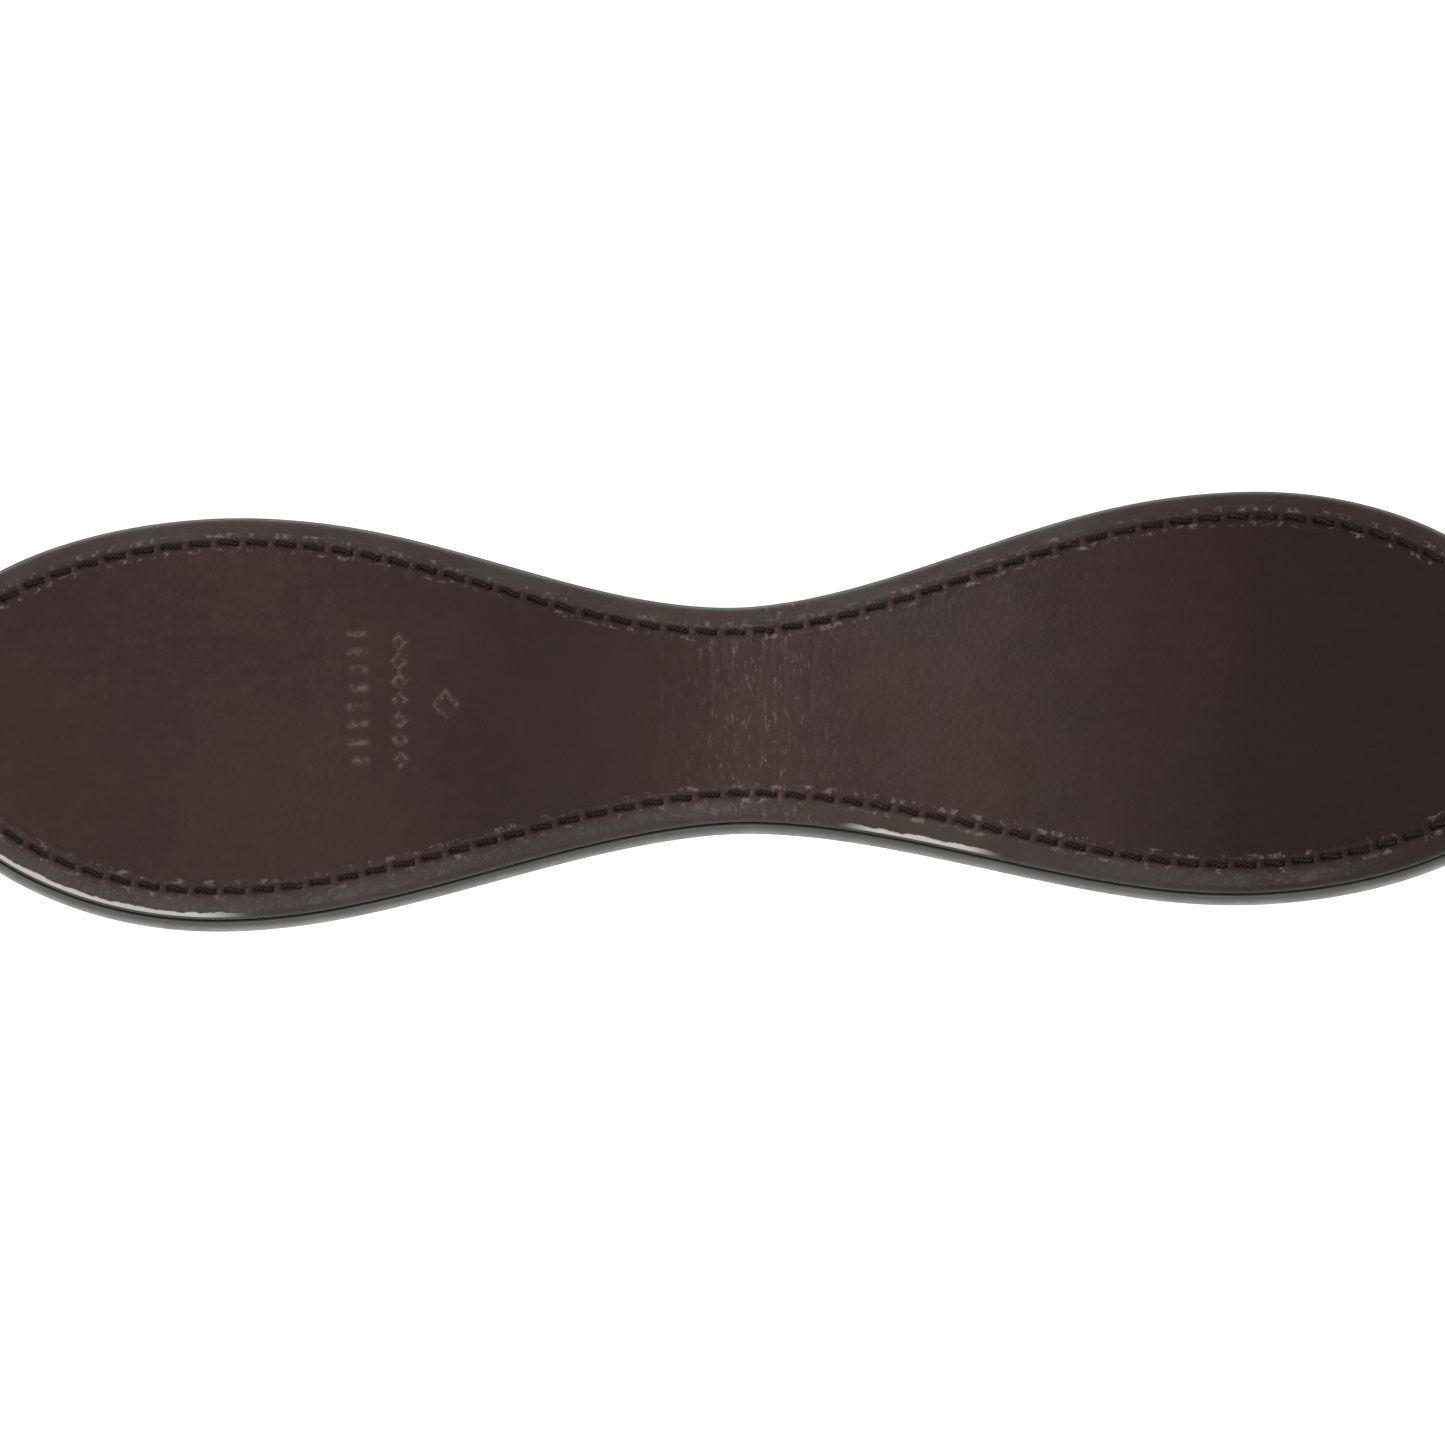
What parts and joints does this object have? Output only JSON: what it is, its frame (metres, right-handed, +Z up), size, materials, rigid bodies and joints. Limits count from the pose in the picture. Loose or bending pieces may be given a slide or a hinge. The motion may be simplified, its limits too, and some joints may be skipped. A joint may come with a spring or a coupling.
{
  "type": "violin shoulder rest",
  "caption": "Leather-bound hourglass shoulder rest for a violin, bent lengthwise, with folding height-adjustable legs and rubber-gripped forks that clip on the violin's edges.",
  "frame": {"origin": "centre of the footprint, on the plane of the claws' tips", "axes": "+X along the plate towards its right lobe, +Y across it away from the viewer, +Z up towards the player's shoulder"},
  "size_m": [0.2336, 0.0576, 0.0761],
  "materials": {
    "face_leather": "satin",
    "face_pad": "matte",
    "core_plate": "satin",
    "edge_binding": "satin",
    "back_leather": "matte",
    "thread": "matte",
    "saddle": "matte",
    "threaded_insert": "satin",
    "bright_steel": "satin",
    "black_steel": "satin",
    "wheel": "satin",
    "fork": "satin",
    "grip": "matte"
  },
  "bodies": {
    "plate": {"face_leather": "face_leather", "face_pad": "face_pad", "core_plate": "core_plate", "edge_binding": "edge_binding", "back_leather": "back_leather", "face_thread": "thread", "back_thread": "thread", "saddle_left": "saddle", "threaded_insert_left_outer": "threaded_insert", "clamp_washer_left_outer": "bright_steel", "clamp_screw_left_outer": "bright_steel", "threaded_insert_left_inner": "threaded_insert", "clamp_washer_left_inner": "bright_steel", "clamp_screw_left_inner": "bright_steel", "saddle_right": "saddle", "threaded_insert_right_outer": "threaded_insert", "clamp_washer_right_outer": "bright_steel", "clamp_screw_right_outer": "bright_steel", "threaded_insert_right_inner": "threaded_insert", "clamp_washer_right_inner": "bright_steel", "clamp_screw_right_inner": "bright_steel"},
    "bracket_left": {"bracket_left": "black_steel", "hinge_pin_left": "bright_steel"},
    "yoke_left": {"yoke_left": "black_steel"},
    "height_wheel_left": {"height_wheel_left": "wheel"},
    "leg_screw_left": {"leg_screw_left": "bright_steel", "cap_nut_left": "bright_steel"},
    "fork_left": {"fork_left": "fork", "grip_left_front": "grip", "grip_left_rear": "grip"},
    "bracket_right": {"bracket_right": "black_steel", "hinge_pin_right": "bright_steel"},
    "yoke_right": {"yoke_right": "black_steel"},
    "height_wheel_right": {"height_wheel_right": "wheel"},
    "leg_screw_right": {"leg_screw_right": "bright_steel", "cap_nut_right": "bright_steel"},
    "fork_right": {"fork_right": "fork", "grip_right_front": "grip", "grip_right_rear": "grip"}
  },
  "joints": [
    {"name": "width_left", "type": "slide", "parent": "plate", "child": "bracket_left", "axis": [-1, 0, 0], "range_m": [-0.006, 0.006]},
    {"name": "fold_left", "type": "hinge", "parent": "bracket_left", "child": "yoke_left", "pos_m": [-0.095, 0, 0.046], "axis": [0, -1, 0], "range_deg": [0, 90]},
    {"name": "height_wheel_left", "type": "hinge", "parent": "yoke_left", "child": "height_wheel_left", "pos_m": [-0.095, 0, 0.0334], "axis": [0, 0, 1], "range_deg": [-961, 601]},
    {"name": "height_left", "type": "slide", "parent": "yoke_left", "child": "leg_screw_left", "axis": [0, 0, 1], "range_m": [-0.004, 0.0025]},
    {"name": "swivel_left", "type": "hinge", "parent": "leg_screw_left", "child": "fork_left", "pos_m": [-0.095, 0, 0.023], "axis": [0, 0, 1], "range_deg": [-35, 35]},
    {"name": "width_right", "type": "slide", "parent": "plate", "child": "bracket_right", "axis": [1, 0, 0], "range_m": [-0.006, 0.006]},
    {"name": "fold_right", "type": "hinge", "parent": "bracket_right", "child": "yoke_right", "pos_m": [0.095, 0, 0.046], "axis": [0, 1, 0], "range_deg": [0, 90]},
    {"name": "height_wheel_right", "type": "hinge", "parent": "yoke_right", "child": "height_wheel_right", "pos_m": [0.095, 0, 0.0334], "axis": [0, 0, 1], "range_deg": [-961, 601]},
    {"name": "height_right", "type": "slide", "parent": "yoke_right", "child": "leg_screw_right", "axis": [0, 0, 1], "range_m": [-0.004, 0.0025]},
    {"name": "swivel_right", "type": "hinge", "parent": "leg_screw_right", "child": "fork_right", "pos_m": [0.095, 0, 0.023], "axis": [0, 0, 1], "range_deg": [-35, 35]}
  ],
  "couplings": [
    {"joint": "height_wheel_left", "follows": "height_left", "rad_per_m": 4188.8},
    {"joint": "height_wheel_right", "follows": "height_right", "rad_per_m": 4188.8}
  ]
}
